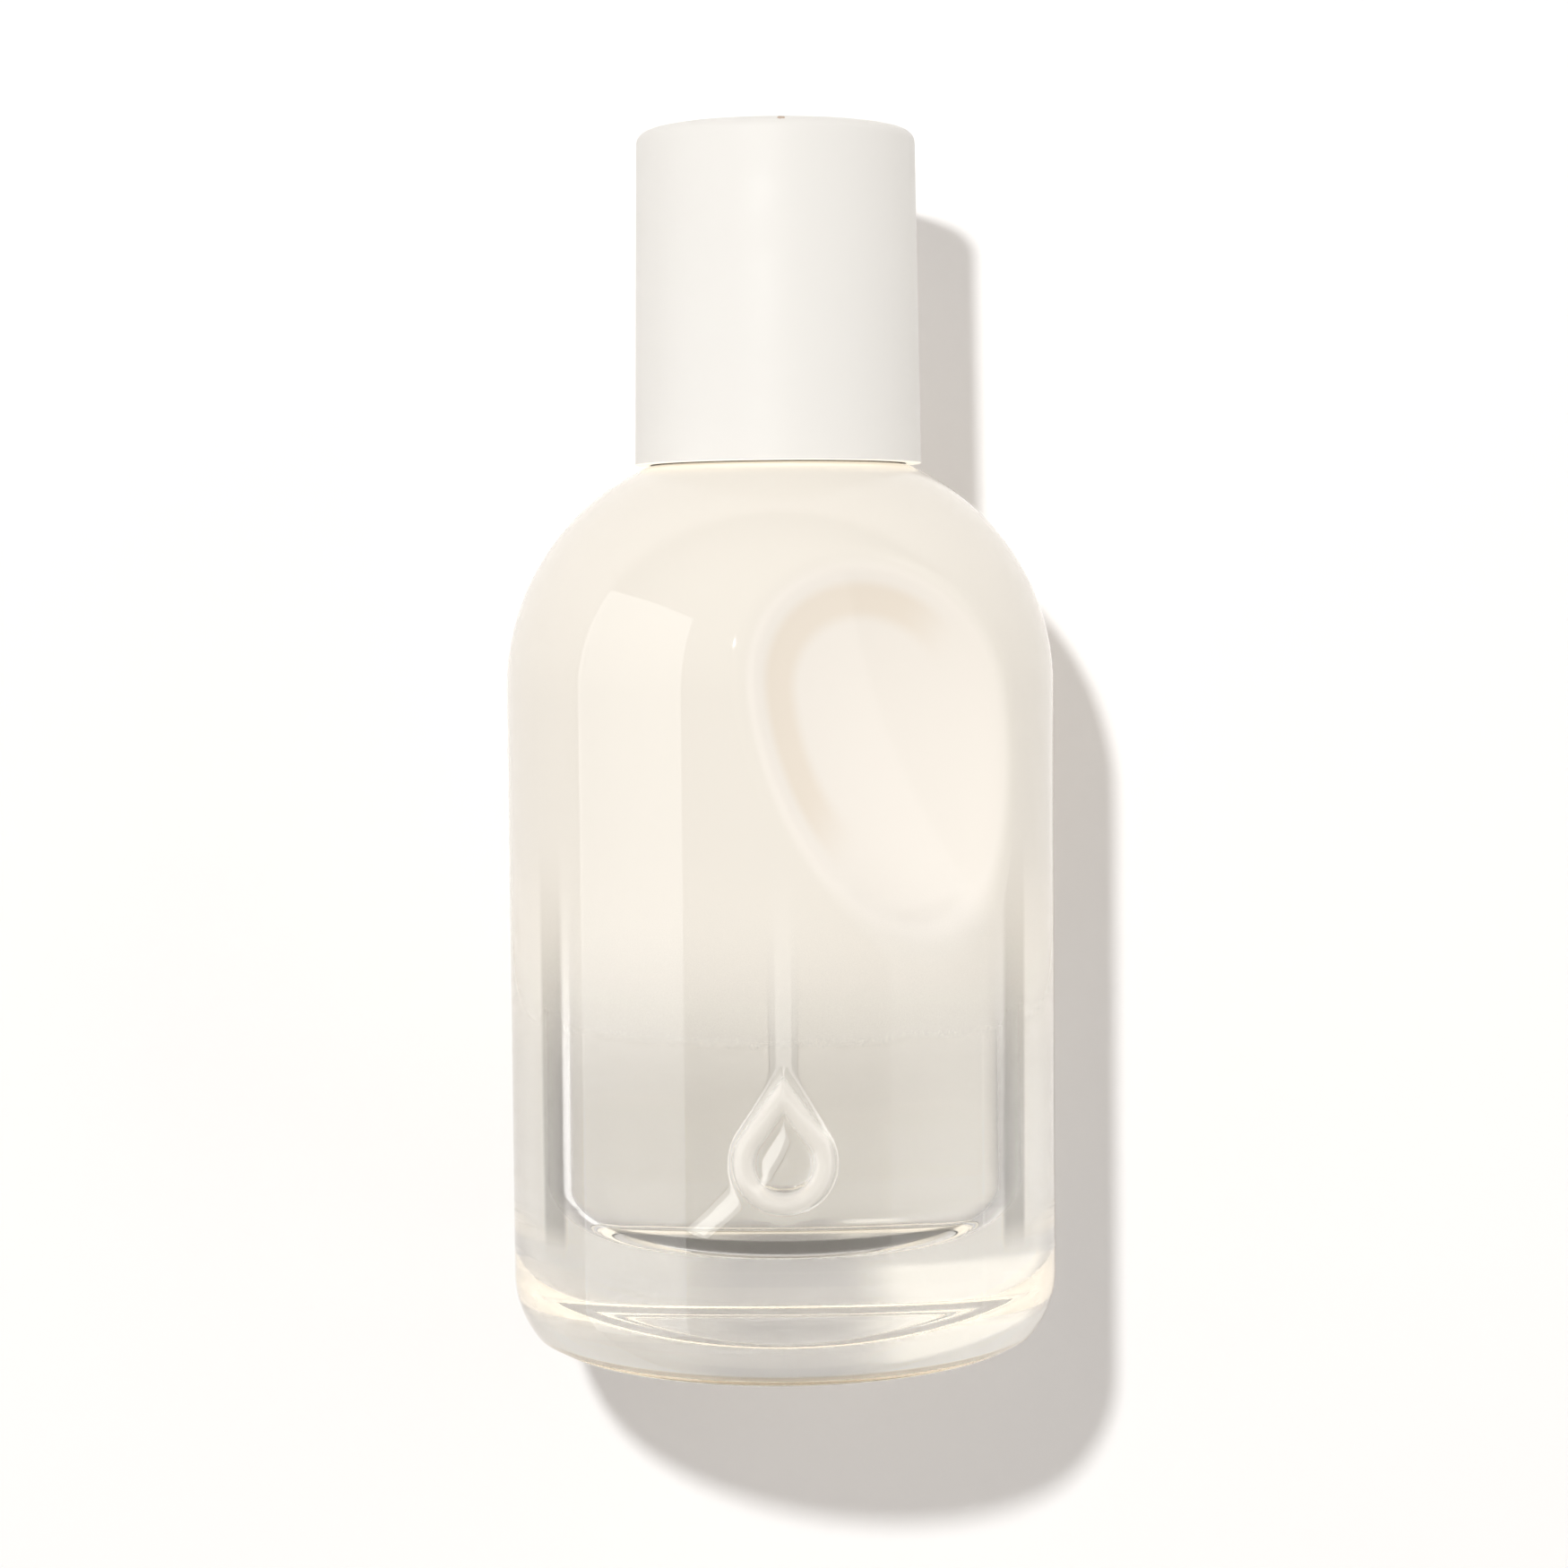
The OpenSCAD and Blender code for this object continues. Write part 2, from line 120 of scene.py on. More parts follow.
def rounded(corners, closed=False, steps=5):
    """Outline through (r, z) or (r, z, fillet) corners, with an arc at each corner that has one."""
    out = []
    count = len(corners)
    for i, corner in enumerate(corners):
        here = np.array(corner[:2], float)
        fillet = corner[2] if len(corner) > 2 else 0
        inner = closed or 0 < i < count - 1
        if not fillet or not inner:
            out.append(tuple(here))
            continue
        back = np.array(corners[i - 1][:2], float) - here
        ahead = np.array(corners[(i + 1) % count][:2], float) - here
        back /= np.linalg.norm(back)
        ahead /= np.linalg.norm(ahead)
        half = math.acos(max(-1.0, min(1.0, float(back @ ahead)))) / 2
        reach = fillet / math.tan(half)
        middle = here + (back + ahead) / np.linalg.norm(back + ahead) * fillet / math.sin(half)
        first = here + back * reach - middle
        last = here + ahead * reach - middle
        turn = math.atan2(first[0] * last[1] - first[1] * last[0], float(first @ last))
        for k in range(steps + 1):
            a = turn * k / steps
            c, s = math.cos(a), math.sin(a)
            out.append((middle[0] + c * first[0] - s * first[1], middle[1] + s * first[0] + c * first[1]))
    return out


def divided(points, spacing, closed=False):
    """The outline with its long stretches cut up; spacing(z) is the longest step allowed."""
    out = []
    pairs = list(zip(points, points[1:]))
    if closed:
        pairs.append((points[-1], points[0]))
    for (r1, z1), (r2, z2) in pairs:
        length = math.hypot(r2 - r1, z2 - z1)
        if length < SHORTEST:
            continue
        cuts = max(1, math.ceil(length / spacing((z1 + z2) / 2)))
        out += [(r1 + (r2 - r1) * k / cuts, z1 + (z2 - z1) * k / cuts) for k in range(cuts)]
    if not closed:
        out.append(points[-1])
    return out


def new_piece(name, vertices, faces, material_index=None):
    """A smooth mesh object."""
    mesh = bpy.data.meshes.new(name)
    mesh.from_pydata([tuple(v) for v in vertices], [], faces)
    if material_index is not None:
        mesh.polygons.foreach_set("material_index", material_index)
    mesh.polygons.foreach_set("use_smooth", [True] * len(mesh.polygons))
    mesh.validate()
    mesh.update()
    piece = bpy.data.objects.new(name, mesh)
    bpy.context.scene.collection.objects.link(piece)
    return piece


def face_zone(zones, i, j):
    """Material of the faces between two rows, which is the outer one unless both are inside."""
    if zones is None or not zones[i] * zones[j]:
        return 0
    return max(zones[i], zones[j])


def turn_rows(name, rows, angles, zones=None, closed=False, moved=None):
    """Surface of revolution about Z. rows are (r, z) points, and one at r = 0 is a pole. angles are
    the columns. zones gives each row's material. moved(points) may shift the points of the rows."""
    columns = len(angles)
    cos, sin = np.cos(angles), np.sin(angles)
    vertices = []
    starts = []
    for r, z in rows:
        starts.append(len(vertices))
        if r < POLE_R:
            vertices.append((0.0, 0.0, z))
        else:
            vertices += [(r * c, r * s, z) for c, s in zip(cos, sin)]
    vertices = np.array(vertices)
    if moved is not None:
        vertices = moved(vertices)
    faces = []
    index = []
    count = len(rows)
    for i in range(count if closed else count - 1):
        j = (i + 1) % count
        pole_i = rows[i][0] < POLE_R
        pole_j = rows[j][0] < POLE_R
        zone = face_zone(zones, i, j)
        for k in range(columns):
            k2 = (k + 1) % columns
            if pole_i and pole_j:
                continue
            if pole_i:
                faces.append((starts[i], starts[j] + k2, starts[j] + k))
            elif pole_j:
                faces.append((starts[i] + k, starts[i] + k2, starts[j]))
            else:
                faces.append((starts[i] + k, starts[i] + k2, starts[j] + k2, starts[j] + k))
            index.append(zone)
    return new_piece(name, vertices, faces, index)


def even_columns(count):
    return np.linspace(0, 2 * math.pi, count, endpoint=False)


def lathe(name, corners, spacing=1.5 * MM, closed=True, columns=160, steps=5):
    """A turned piece from the corners of its half section."""
    points = rounded(corners, closed, steps)
    rows = divided(points, lambda z: spacing, closed)
    return turn_rows(name, rows, even_columns(columns), closed=closed)


def swept_tube(name, path, radius, bore, sides=28):
    """A round tube along a path, open through its bore."""
    points = [Vector(p) for p in path]
    tangents = []
    for i in range(len(points)):
        ahead = points[min(i + 1, len(points) - 1)]
        behind = points[max(i - 1, 0)]
        tangents.append((ahead - behind).normalized())
    side = tangents[0].orthogonal().normalized()
    vertices = []
    for size in (radius, bore):
        across = side.copy()
        for p, t in zip(points, tangents):
            across = (across - across.dot(t) * t).normalized()
            other = t.cross(across)
            for k in range(sides):
                a = 2 * math.pi * k / sides
                vertices.append(p + size * (math.cos(a) * across + math.sin(a) * other))
    rings = len(points)
    inner = rings * sides
    faces = []
    for i in range(rings - 1):
        for k in range(sides):
            k2 = (k + 1) % sides
            a, b = i * sides + k, i * sides + k2
            c, d = b + sides, a + sides
            faces.append((a, b, c, d))
            faces.append((inner + d, inner + c, inner + b, inner + a))
    last = (rings - 1) * sides
    for k in range(sides):
        k2 = (k + 1) % sides
        faces.append((k2, k, inner + k, inner + k2))
        faces.append((last + k, last + k2, inner + last + k2, inner + last + k))
    return new_piece(name, vertices, faces)


def coil(name, coil_r, wire_r, low, high, turns, sides=12, per_turn=48):
    """A coil spring of round wire about Z, from height low to high, with its ends closed flat."""
    steps = int(per_turn * turns)
    points = []
    for i in range(steps + 1):
        t = i / steps
        a = 2 * math.pi * turns * t
        z = low + wire_r + (high - low - 2 * wire_r) * t
        points.append(Vector((coil_r * math.cos(a), coil_r * math.sin(a), z)))
    vertices = []
    for i, p in enumerate(points):
        a = 2 * math.pi * turns * i / steps
        out = Vector((math.cos(a), math.sin(a), 0))
        for k in range(sides):
            b = 2 * math.pi * k / sides
            vertices.append(p + wire_r * (math.cos(b) * out + Vector((0, 0, math.sin(b)))))
    faces = []
    for i in range(steps):
        for k in range(sides):
            a, b = i * sides + k, i * sides + (k + 1) % sides
            faces.append((a, b, b + sides, a + sides))
    faces.append(tuple(range(sides - 1, -1, -1)))
    faces.append(tuple(steps * sides + k for k in range(sides)))
    return new_piece(name, vertices, faces)


# ---------------------------------------------------------------- materials


class Look:
    """A node material with one Principled shader, built up by short calls."""

    def __init__(self, name):
        self.material = bpy.data.materials.new(name)
        self.material.use_nodes = True
        self.tree = self.material.node_tree
        self.shader = self.tree.nodes["Principled BSDF"]

    def node(self, kind, **inputs):
        made = self.tree.nodes.new(kind)
        for key, value in inputs.items():
            made.inputs[key.replace("_", " ")].default_value = value
        return made

    def join(self, source, target):
        self.tree.links.new(source, target)

    def set(self, socket, value):
        self.shader.inputs[socket].default_value = value

    def link(self, source, socket):
        self.join(source, self.shader.inputs[socket])

    def coordinates(self):
        return self.node("ShaderNodeTexCoord").outputs["Object"]

    def noise(self, scale, detail=2.0, roughness=0.5, stretch=(1, 1, 1)):
        """Noise in the object's own space; scale is per metre."""
        mapping = self.node("ShaderNodeMapping", Scale=stretch)
        self.join(self.coordinates(), mapping.inputs["Vector"])
        made = self.node("ShaderNodeTexNoise", Scale=scale, Detail=detail, Roughness=roughness)
        self.join(mapping.outputs["Vector"], made.inputs["Vector"])
        return made.outputs["Fac"]

    def math(self, operation, a, b=None, clamp=False):
        made = self.tree.nodes.new("ShaderNodeMath")
        made.operation = operation
        made.use_clamp = clamp
        for slot, value in enumerate((a, b)):
            if value is None:
                continue
            if isinstance(value, (int, float)):
                made.inputs[slot].default_value = value
            else:
                self.join(value, made.inputs[slot])
        return made.outputs[0]

    def plus(self, a, b):
        return self.math("ADD", a, b)

    def minus(self, a, b):
        return self.math("SUBTRACT", a, b)

    def times(self, a, b):
        return self.math("MULTIPLY", a, b)

    def ramp(self, value, low, high, to_low=0.0, to_high=1.0):
        """value taken from low..high to to_low..to_high, smoothly and held at the ends."""
        made = self.tree.nodes.new("ShaderNodeMapRange")
        made.interpolation_type = "SMOOTHSTEP"
        made.clamp = True
        self.join(value, made.inputs["Value"])
        made.inputs["From Min"].default_value = low
        made.inputs["From Max"].default_value = high
        made.inputs["To Min"].default_value = to_low
        made.inputs["To Max"].default_value = to_high
        return made.outputs["Result"]

    def band(self, value, low, high, soft):
        """1 between low and high, falling to 0 over soft on both sides."""
        rising = self.ramp(value, low - soft, low)
        falling = self.ramp(value, high, high + soft, 1.0, 0.0)
        return self.times(rising, falling)

    def tone(self, scale, **noise):
        """Soft noise stretched to the whole of 0 to 1."""
        return self.ramp(self.noise(scale, **noise), 0.3, 0.7)

    def facing(self):
        """0 where the surface faces the eye and 1 where it is seen edge on."""
        return self.node("ShaderNodeLayerWeight", Blend=0.5).outputs["Facing"]

    def from_behind(self):
        """1 where a face is seen from its back, as the glass is from its inside."""
        return self.node("ShaderNodeNewGeometry").outputs["Backfacing"]

    def stored(self, name):
        """A number stored at the mesh's points."""
        made = self.node("ShaderNodeAttribute")
        made.attribute_name = name
        return made.outputs["Fac"]

    def mix(self, factor, a, b):
        """Colour a turning to b as factor goes from 0 to 1."""
        made = self.tree.nodes.new("ShaderNodeMix")
        made.data_type = "RGBA"
        self.join(factor, made.inputs[0])
        for slot, value in ((6, a), (7, b)):
            if isinstance(value, tuple):
                made.inputs[slot].default_value = (*value, 1)
            else:
                self.join(value, made.inputs[slot])
        return made.outputs[2]

    def xyz(self):
        parts = self.tree.nodes.new("ShaderNodeSeparateXYZ")
        self.join(self.coordinates(), parts.inputs[0])
        return parts.outputs

    def radius(self, x, y):
        return self.math("SQRT", self.plus(self.times(x, x), self.times(y, y)))

    def combine(self, kind, first, second):
        """An Add or Mix Shader node of two shaders, which are its last two inputs."""
        made = self.tree.nodes.new(kind)
        self.join(first.outputs[0], made.inputs[-2])
        self.join(second.outputs[0], made.inputs[-1])
        return made

    def bump(self, height, strength, distance):
        made = self.node("ShaderNodeBump", Strength=strength, Distance=distance)
        self.join(height, made.inputs["Height"])
        self.link(made.outputs["Normal"], "Normal")


def lacquer_cover(look, x, y, z):
    """How much lacquer is on the glass: all of it above, none at the foot and a speckled fade
    between. The raised drop keeps some."""
    fade = look.ramp(z, FADE_LOW, FADE_HIGH)
    speckle = look.minus(look.noise(SPECKLE_SCALE, detail=1.0), 0.5)
    drift = look.minus(look.noise(DRIFT_SCALE), 0.5)
    grain = look.plus(look.times(speckle, SPECKLE), look.times(drift, DRIFT))
    middle = look.times(fade, look.minus(1.0, fade))
    fade = look.plus(fade, look.times(grain, look.times(middle, 3.0)))
    ridge_r = BODY_R + 0.7 * DROP_RELIEF
    ridge = look.ramp(look.radius(x, y), BODY_R + 0.1 * MM, ridge_r, 0.0, DROP_COVER)
    return look.math("MAXIMUM", fade, ridge, clamp=True)


def lacquer_colour(look, x, z):
    """Cream, made paler in the dent by painted light, with a tan crescent of painted shade down the
    dent's left slope.
    """
    depth = look.stored("pressed_in")
    # Painted light: the dent is paler than the rest of the lacquer.
    cream = look.mix(look.ramp(depth, 0.01, 0.12), LACQUER, LACQUER_DENT_LIGHT)
    slope = look.band(depth, CRESCENT_FROM, CRESCENT_TO, CRESCENT_SOFT)
    from_left = look.minus(x, look.times(look.minus(z, DENT_Z), CRESCENT_LEAN))
    left = look.ramp(from_left, CRESCENT_X, CRESCENT_END_X, CRESCENT_MOST, 0.0)
    # Painted shade: a tan crescent down the dent's left slope.
    return look.mix(look.times(slope, left), cream, LACQUER_CRESCENT_SHADE)


def clear_colour(look, z):
    """Clear glass, deeper in colour and darker where it is seen edge on, partly its own tint and partly
    painted shade. It has dark lines at both sides of the hollow, a painted reflection that stands for its
    total reflection, and a tan line of painted shade at the foot's step."""
    facing = look.facing()
    # Edges deeper and darker: the glass's own tint, partly painted shade.
    glass = look.mix(look.ramp(facing, 0.6, 0.95), GLASS, GLASS_EDGE_TINT_AND_SHADE)
    # Painted shade: a tan line at the foot's step, on the outer face only.
    step = look.band(z, PAINTED_FOOT_SHADE_LOW, PAINTED_FOOT_SHADE_HIGH, 0.3 * MM)
    step = look.times(step, look.minus(1.0, look.from_behind()))
    # Painted reflection: dark lines at the sides of the hollow, above its floor.
    sides = look.band(facing, PAINTED_SIDE_REFLECTION_FROM, PAINTED_SIDE_REFLECTION_TO, 0.03)
    sides = look.times(sides, look.ramp(z, FLOOR_Z, FLOOR_Z + 4 * MM))
    return look.mix(sides, look.mix(step, glass, PAINTED_FOOT_SHADE), PAINTED_SIDE_REFLECTION)


def lacquered_glass():
    """Clear glass under a sprayed cream lacquer. The lacquer has painted light: it glows a little where
    it is seen from inside, standing in for light soaking through it, and at the back, where the glow
    lifts the shade of the white table, which is too close for the back to be lit."""
    look = Look("lacquered_glass")
    x, y, z = look.xyz()[:3]
    cover = lacquer_cover(look, x, y, z)
    look.link(look.mix(cover, clear_colour(look, z), lacquer_colour(look, x, z)), "Base Color")
    look.link(look.minus(1.0, cover), "Transmission Weight")
    look.set("Emission Color", (*LACQUER, 1))
    # Painted light: the lacquer emits a glow where it is seen from inside and near the back.
    inner = look.times(look.from_behind(), INNER_PAINTED_GLOW)
    back = look.ramp(y, BODY_R - 6 * MM, BODY_R, 0.0, BACK_PAINTED_GLOW)
    look.link(look.times(look.math("MAXIMUM", inner, back), cover), "Emission Strength")
    look.set("Roughness", 0.02)
    look.set("IOR", GLASS_IOR)
    return look.material


def clear_face(name, ior):
    """The inner face of the glass, against a liquid or against air. Light that enters through the curved
    corner of the floor comes from the dark surroundings, so a painted shade darkens it there."""
    look = Look(name)
    corner = look.band(look.xyz()[2], FLOOR_Z + 0.3 * MM, FLOOR_Z + 2.2 * MM, 0.3 * MM)
    dimmed = look.times(corner, look.from_behind())
    # Painted shade on the floor's curved corner, seen from inside the glass.
    look.link(look.mix(dimmed, UNTINTED, FLOOR_CORNER), "Base Color")
    look.set("Transmission Weight", 1.0)
    look.set("Roughness", 0.0)
    look.set("IOR", ior)
    return look.material


def liquid():
    """Nearly colourless fragrance. The glass face round it bends the light, so it only tints."""
    look = Look("fragrance")
    look.set("Base Color", (*LIQUID, 1))
    look.set("Transmission Weight", 1.0)
    look.set("Roughness", 0.0)
    look.set("IOR", 1.0)
    return look.material


def tube_plastic():
    """Milky tube, nearly lost in the liquid, with a painted glow that keeps it brighter than the liquid
    round it. Alpha thins it, so that light crosses it unbent.
    """
    look = Look("tube_plastic")
    look.set("Base Color", (*TUBE, 1))
    milky = look.ramp(look.noise(300, stretch=DRAWN), 0.3, 0.7, 0.12, 0.16)
    thinner = look.ramp(look.xyz()[2], 20 * MM, 28 * MM, 1.0, 0.6)
    look.link(look.times(milky, thinner), "Alpha")
    # Painted light: the tube glows a little.
    look.set("Emission Color", (*TUBE, 1))
    look.set("Emission Strength", 0.9)
    look.set("Roughness", 0.35)
    look.set("IOR", 1.07)
    look.bump(look.noise(900, stretch=DRAWN), 0.2, 0.02 * MM)
    return look.material


def scaled(colour, factor):
    return tuple(c * factor for c in colour)


def moulded_plastic(name, colour, roughness=0.42, depth=0.25):
    """Satin moulded plastic with a very fine orange-peel."""
    look = Look(name)
    look.link(look.mix(look.tone(90), scaled(colour, 0.975), colour), "Base Color")
    look.link(look.ramp(look.noise(500), 0.3, 0.7, roughness - 0.05, roughness + 0.05), "Roughness")
    look.bump(look.noise(1500, detail=3.0), depth, 0.02 * MM)
    return look.material


def spun_metal(name, colour, roughness=0.3):
    """Turned sheet metal with fine rings about its axis."""
    look = Look(name)
    look.set("Metallic", 1.0)
    rings = look.noise(120, detail=4.0, stretch=(1, 1, 60))
    tone = look.ramp(rings, 0.3, 0.7)
    look.link(look.mix(tone, scaled(colour, 0.94), colour), "Base Color")
    look.link(look.ramp(rings, 0.25, 0.75, roughness - 0.06, roughness + 0.08), "Roughness")
    look.bump(rings, 0.15, 0.01 * MM)
    return look.material


def rubber():
    """Matt black rubber with a fine grain."""
    look = Look("seal_rubber")
    look.link(look.mix(look.tone(700), RUBBER_DARK, RUBBER), "Base Color")
    look.set("Roughness", 0.7)
    look.bump(look.noise(2500), 0.3, 0.02 * MM)
    return look.material


def cap_paint():
    """Satin off-white paint with tan chips along the top edge and a few specks. Its lower face has a
    painted glow, standing in for the light of the lit shoulder just under it."""
    look = Look("cap_paint")
    x, y, z = look.xyz()[:3]
    edge_z = CAP_TOP_Z - CAP_EDGE_BAND
    edge_r = CAP_TOP_R - CAP_EDGE_BAND
    high = look.ramp(z, edge_z, edge_z + 0.5 * MM)
    outer = look.ramp(look.radius(x, y), edge_r - 0.4 * MM, edge_r)
    chips = look.ramp(look.noise(330, detail=3.0), 0.665, 0.69)
    chips = look.times(look.times(high, outer), chips)
    specks = look.ramp(look.noise(240, detail=1.0, roughness=0.3), 0.835, 0.85)
    marks = look.math("MAXIMUM", chips, specks)
    paint = look.mix(look.tone(45), scaled(CAP, 0.99), CAP)
    look.link(look.mix(marks, paint, CAP_CHIP), "Base Color")
    look.link(look.ramp(look.noise(400), 0.3, 0.7, 0.42, 0.52), "Roughness")
    look.set("Specular IOR Level", 0.3)
    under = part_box("cap_shell")[0].z
    # Painted light: a glow on the cap's lower face.
    look.set("Emission Color", (*LACQUER, 1))
    look.link(look.ramp(z, under, under + 0.12 * MM, 0.5, 0.0), "Emission Strength")
    look.bump(look.noise(1400, detail=3.0), 0.2, 0.015 * MM)
    return look.material


# Colours are linear red, green and blue.
LACQUER = (0.885, 0.835, 0.75)
# The dent's paler cream is painted light, and its tan crescent is painted shade.
LACQUER_DENT_LIGHT = (0.955, 0.90, 0.82)
LACQUER_CRESCENT_SHADE = (0.90, 0.81, 0.69)
GLASS = (0.975, 0.975, 0.965)
# The glass edge is partly its own tint and partly painted shade. The foot line is painted shade, and the
# side line is a painted reflection.
GLASS_EDGE_TINT_AND_SHADE = (0.55, 0.49, 0.41)
PAINTED_FOOT_SHADE = (0.60, 0.52, 0.41)
PAINTED_SIDE_REFLECTION = (0.38, 0.38, 0.37)
# Painted shade for the hollow's floor corner.
FLOOR_CORNER = (0.16, 0.16, 0.16)
UNTINTED = (1.0, 1.0, 1.0)
LIQUID = (0.99, 0.98, 0.96)
TUBE = (0.93, 0.925, 0.91)
RUBBER = (0.09, 0.09, 0.09)
RUBBER_DARK = (0.05, 0.05, 0.05)
CAP = (0.86, 0.84, 0.80)
CAP_CHIP = (0.55, 0.42, 0.33)
STEEL = (0.66, 0.66, 0.67)
ALUMINIUM = (0.84, 0.84, 0.85)
IVORY = (0.93, 0.90, 0.85)
WHITE_PLASTIC = (0.88, 0.88, 0.86)
SILVER = (0.80, 0.79, 0.77)

# Where the lacquer fades, and how strong its speckle is. Noise scales are per metre.
FADE_LOW = 23 * MM
FADE_HIGH = 53 * MM
SPECKLE_SCALE = 14000
SPECKLE = 0.2
DRIFT_SCALE = 60
DRIFT = 0.12
DROP_COVER = 0.7
# Strengths of the lacquer's painted glow, seen from inside and at the back.
INNER_PAINTED_GLOW = 0.5
BACK_PAINTED_GLOW = 0.2

# The dent's tan crescent of painted shade: from what part of the dent's depth, how far across and how
# strong.
CRESCENT_FROM = 0.38
CRESCENT_TO = 0.55
CRESCENT_SOFT = 0.16
CRESCENT_LEAN = 0.5
CRESCENT_X = 6 * MM
CRESCENT_END_X = 14 * MM
CRESCENT_MOST = 0.9

# The painted reflection lines and the painted foot shade in the clear glass, by height and by how far the
# wall turns from the eye.
PAINTED_FOOT_SHADE_LOW = 0.3 * MM
PAINTED_FOOT_SHADE_HIGH = 1.2 * MM
PAINTED_SIDE_REFLECTION_FROM = 0.44
PAINTED_SIDE_REFLECTION_TO = 0.53

GLASS_IOR = 1.5
LIQUID_IOR = 1.36
DRAWN = (1, 1, 0.1)
CAP_TOP_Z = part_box("cap_shell")[1].z
CAP_TOP_R = 13.9 * MM
CAP_EDGE_BAND = 0.9 * MM

MATERIALS = {
    "lacquered_glass": lacquered_glass(),
    "wet_glass": clear_face("wet_glass", GLASS_IOR / LIQUID_IOR),
    "dry_glass": clear_face("dry_glass", GLASS_IOR),
    "liquid": liquid(),
    "tube_plastic": tube_plastic(),
    "pump_plastic": moulded_plastic("pump_plastic", WHITE_PLASTIC),
    "button_plastic": moulded_plastic("button_plastic", IVORY, 0.35),
    "liner_plastic": moulded_plastic("liner_plastic", WHITE_PLASTIC, 0.45),
    "cap_plastic": cap_paint(),
    "gasket_rubber": rubber(),
    "spring_steel": spun_metal("spring_steel", STEEL, 0.22),
    "ferrule_aluminium": spun_metal("ferrule_aluminium", ALUMINIUM, 0.26),
    "collar_aluminium": spun_metal("collar_aluminium", SILVER, 0.32),
}


def dress(piece, body, slot, *nodes, materials=None):
    """Gives a piece its material, its CAD body and the CAD nodes that it stands for."""
    for name in materials or [slot]:
        piece.data.materials.append(MATERIALS[name])
    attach(piece, body)
    if nodes:
        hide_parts(*nodes)
    return piece


# ---------------------------------------------------------------- glass bottle


def dent_distance(p):
    """How far points are outside the barrel that presses the dent, negative inside it."""
    ct, st = math.cos(DENT_TURN), math.sin(DENT_TURN)
    x = p[:, 0] * ct + p[:, 1] * st
    y = -p[:, 0] * st + p[:, 1] * ct + BODY_R - DENT_DEPTH + DENT_ACROSS_R
    z = p[:, 2] - DENT_Z
    cl, sl = math.cos(DENT_LEAN), math.sin(DENT_LEAN)
    across = np.hypot(x * cl + z * sl, y)
    along = z * cl - x * sl
    return np.hypot(across - (DENT_ACROSS_R - DENT_ALONG_R), along) - DENT_ALONG_R


def wall_distance(r, z):
    """How far points are outside the undented wall and shoulder."""
    over = np.maximum(z - SHOULDER_Z, 0)
    shoulder = np.hypot(r - SHOULDER_C, over) - SHOULDER_ARC_R
    return np.where(z > SHOULDER_Z, shoulder, r - BODY_R)


def pressed(points):
    """Moves points of the wall straight in, onto the dent and its rounded rim."""
    r = np.hypot(points[:, 0], points[:, 1])
    low = 0.5 * r
    high = r.copy()
    unit = points[:, :2] / r[:, None]
    for _ in range(32):
        middle = (low + high) / 2
        p = np.column_stack([unit * middle[:, None], points[:, 2]])
        a, b = wall_distance(middle, p[:, 2]), -dent_distance(p)
        blend = np.maximum(DENT_RIM - np.abs(a - b), 0) ** 2 / (4 * DENT_RIM)
        outside = np.maximum(a, b) + blend > 0
        high = np.where(outside, middle, high)
        low = np.where(outside, low, middle)
    return np.column_stack([unit * high[:, None], points[:, 2]])


def drop_distance(x, z, radius):
    """Signed distance to the outline of a drop with its tip up, negative inside."""
    tip = DROP_TIP * radius / DROP_R
    side = math.acos(radius / tip)
    x = np.abs(x)
    normal = x * math.sin(side) + z * math.cos(side)
    along = -x * math.cos(side) + z * math.sin(side)
    length = tip * math.sin(side)
    straight = np.where(along > length, np.hypot(x, z - tip), normal - radius)
    return np.where(along < 0, np.hypot(x, z) - radius, straight)


def raised(points):
    """Moves points of the front wall out, onto the drop's rounded ridge."""
    angle = np.arctan2(points[:, 0], -points[:, 1])
    x, z = BODY_R * angle, points[:, 2] - DROP_Z
    side = np.abs(drop_distance(x, z, DROP_R) + DROP_RIDGE / 2) / (DROP_RIDGE * 0.6)
    height = (1 - np.clip(side, 0, 1) ** 2) ** 1.4 * DROP_RELIEF * 0.97
    out = 1 + height / np.hypot(points[:, 0], points[:, 1])
    return np.column_stack([points[:, :2] * out[:, None], points[:, 2]])


def shaped_wall(points):
    """The turned wall with its thumb dent and its raised drop."""
    r = np.hypot(points[:, 0], points[:, 1])
    front = points[:, 1] < 0
    outer = r > CAVITY_R + 1 * MM
    dent = front & outer & (points[:, 2] > DENT_LOW_Z) & (points[:, 2] < DENT_HIGH_Z)
    points[dent] = pressed(points[dent])
    near = front & outer & (np.abs(points[:, 0]) < DROP_HALF_W)
    drop = near & (points[:, 2] > DROP_LOW_Z) & (points[:, 2] < DROP_HIGH_Z)
    points[drop] = raised(points[drop])
    return points


